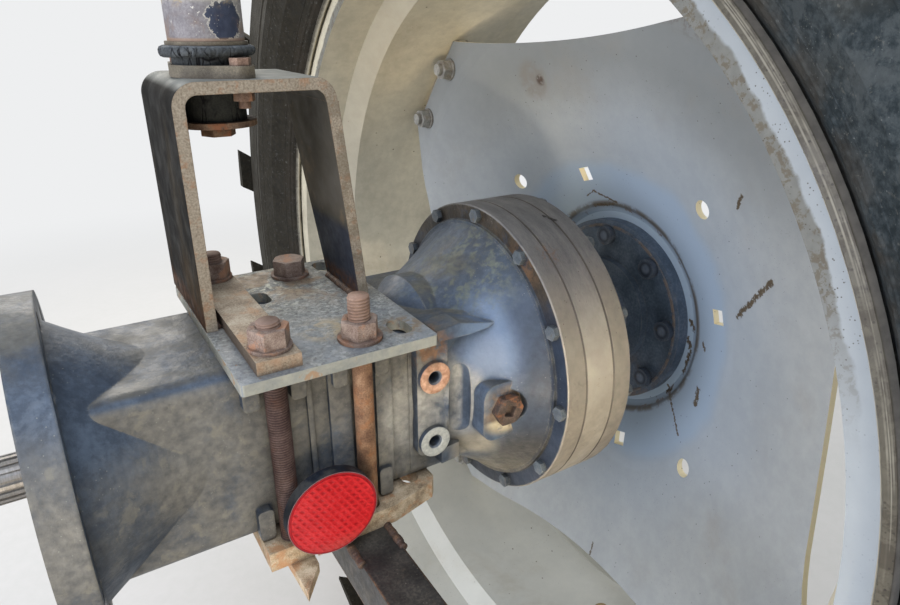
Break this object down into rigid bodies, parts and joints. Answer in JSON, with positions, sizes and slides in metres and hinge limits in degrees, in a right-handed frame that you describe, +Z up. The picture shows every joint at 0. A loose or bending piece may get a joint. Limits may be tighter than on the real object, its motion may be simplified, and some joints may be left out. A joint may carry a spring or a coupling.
{
  "type": "tractor rear axle end with wheel",
  "caption": "Right-hand rear axle end of a farm tractor: cast housing, final drive case, steel wheel with bar-tread tyre, clamp plates, bracket with rubber cab mount, reflector and rear beam.",
  "frame": {"origin": "centre of the axle housing's inner flange, on its machined face", "axes": "+X outboard along the axle to the wheel, +Y to the front of the machine, +Z up"},
  "size_m": [0.8205, 1.5, 1.5],
  "materials": {
    "cast_paint": "worn blue-grey paint on a sand casting, dusty, rusty round the bosses",
    "case_steel": "bare weathered grey-brown metal with dust",
    "dark_steel": "plain steel, satin",
    "rusty_fastener": "rusty",
    "plate_steel": "grey steel with lichen and rust speckle",
    "strap_steel": "brown rust",
    "low_plate_steel": "grey steel with yellow-brown rusty edges",
    "bracket_paint": "worn grey-black paint with rusty speckled edges",
    "mount_steel": "dull, oily",
    "rubber": "cracked",
    "snub_rust": "red-brown rust",
    "foot_paint": "chalky mauve-grey paint, flaked to cream",
    "red_lens": "red prismatic reflector",
    "black_plastic": "satin black",
    "beam_paint": "black paint, edges worn to rust",
    "hub_paint": "near-black navy, edge worn to rusty brown",
    "zinc": "dull zinc with dirt",
    "disc_paint": "silver-grey paint, mud specks",
    "rim_paint": "silver-grey paint, brown dirt at the beads",
    "tyre": "scuffed charcoal rubber",
    "brass": "dull",
    "shaft_steel": "machined, oiled"
  },
  "bodies": {
    "axle": {"axle_housing": "cast_paint", "axle_bell": "cast_paint", "ring_gear_case": "case_steel", "outer_cover": "case_steel", "gear_block": "dark_steel", "case_bolts": "zinc", "fill_plug": "rusty_fastener", "seal_carrier": "hub_paint", "shaft_seal": "rubber", "top_clamp_plate": "plate_steel", "strap_plate": "strap_steel", "clamp_studs": "rusty_fastener", "clamp_nuts": "rusty_fastener", "clamp_washers": "rusty_fastener", "lower_clamp_plate": "low_plate_steel", "portal_bracket": "bracket_paint", "mount_flange_plate": "mount_steel", "mount_flange_bolts": "mount_steel", "mount_rubber_upper": "rubber", "mount_rubber_lower": "rubber", "mount_top_washer": "mount_steel", "mount_snub_washer": "snub_rust", "mount_bolt": "snub_rust", "cab_foot": "foot_paint", "reflector_lens": "red_lens", "reflector_body": "black_plastic", "reflector_bracket": "low_plate_steel", "rear_beam": "beam_paint"},
    "wheel": {"hub_shaft": "hub_paint", "wheel_studs": "hub_paint", "wheel_nuts": "zinc", "wheel_disc": "disc_paint", "rim": "rim_paint", "rim_lugs": "rim_paint", "rim_bolts": "zinc", "tyre": "tyre", "valve_stem": "brass"},
    "half_shaft": {"half_shaft": "shaft_steel"}
  },
  "joints": [
    {"name": "wheel_spin", "type": "hinge", "parent": "axle", "child": "wheel", "pos_m": [0.5, 0, 0], "axis": [1, 0, 0], "continuous": true},
    {"name": "half_shaft_spin", "type": "hinge", "parent": "axle", "child": "half_shaft", "pos_m": [0, 0, 0], "axis": [1, 0, 0], "continuous": true}
  ],
  "couplings": [
    {"joint": "half_shaft_spin", "follows": "wheel_spin", "ratio": 5}
  ]
}
